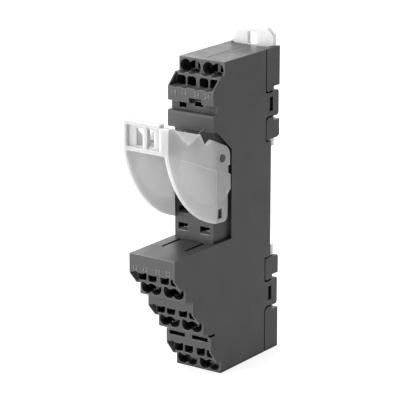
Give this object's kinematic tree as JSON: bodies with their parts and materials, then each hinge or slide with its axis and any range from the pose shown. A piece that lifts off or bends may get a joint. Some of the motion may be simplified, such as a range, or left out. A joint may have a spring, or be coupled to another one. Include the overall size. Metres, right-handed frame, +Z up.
{
  "type": "relay socket",
  "caption": "Slim eight-pin relay socket for a 35 mm rail, with push-in wire terminals, a white holding and release lever and sliding rail clips.",
  "frame": {"origin": "on the floor of the rail recess, at mid width, on the centre line of the 35 mm rail", "axes": "+X across the width, +Y out of the recess towards the rail, +Z up; the wires enter from -Y"},
  "size_m": [0.0154, 0.0548, 0.0961],
  "materials": {
    "black_housing": "fine satin moulding",
    "black_base": "fine satin moulding",
    "white_lever": "satin moulding, slightly translucent",
    "white_clip": "satin moulding",
    "contact_metal": "tinned",
    "spring_steel": "bright rolled"
  },
  "bodies": {
    "base": {"housing": "black_housing", "left_row1_contact": "contact_metal", "left_row1_inner_spring": "spring_steel", "left_row1_outer_spring": "spring_steel", "left_row2_contact": "contact_metal", "left_row2_inner_spring": "spring_steel", "left_row2_outer_spring": "spring_steel", "left_row3_contact": "contact_metal", "left_row3_inner_spring": "spring_steel", "left_row3_outer_spring": "spring_steel", "left_top_contact": "contact_metal", "left_top_inner_spring": "spring_steel", "left_top_outer_spring": "spring_steel", "rear_base": "black_base", "right_row1_contact": "contact_metal", "right_row1_inner_spring": "spring_steel", "right_row1_outer_spring": "spring_steel", "right_row2_contact": "contact_metal", "right_row2_inner_spring": "spring_steel", "right_row2_outer_spring": "spring_steel", "right_row3_contact": "contact_metal", "right_row3_inner_spring": "spring_steel", "right_row3_outer_spring": "spring_steel", "right_top_contact": "contact_metal", "right_top_inner_spring": "spring_steel", "right_top_outer_spring": "spring_steel"},
    "lever": {"lever": "white_lever"},
    "upper_clip": {"upper_rail_clip": "white_clip"},
    "lower_clip": {"lower_rail_clip": "white_clip"}
  },
  "joints": [
    {"name": "lever_hinge", "type": "hinge", "parent": "base", "child": "lever", "pos_m": [0, -0.0244, 0.0172], "axis": [-1, 0, 0], "range_deg": [0, 20]},
    {"name": "upper_clip_slide", "type": "slide", "parent": "base", "child": "upper_clip", "axis": [0, 0, 1], "range_m": [0, 0.003], "stiffness_N_per_m": 200, "springref_m": -0.003},
    {"name": "lower_clip_slide", "type": "slide", "parent": "base", "child": "lower_clip", "axis": [0, 0, -1], "range_m": [0, 0.003], "stiffness_N_per_m": 200, "springref_m": -0.003}
  ]
}
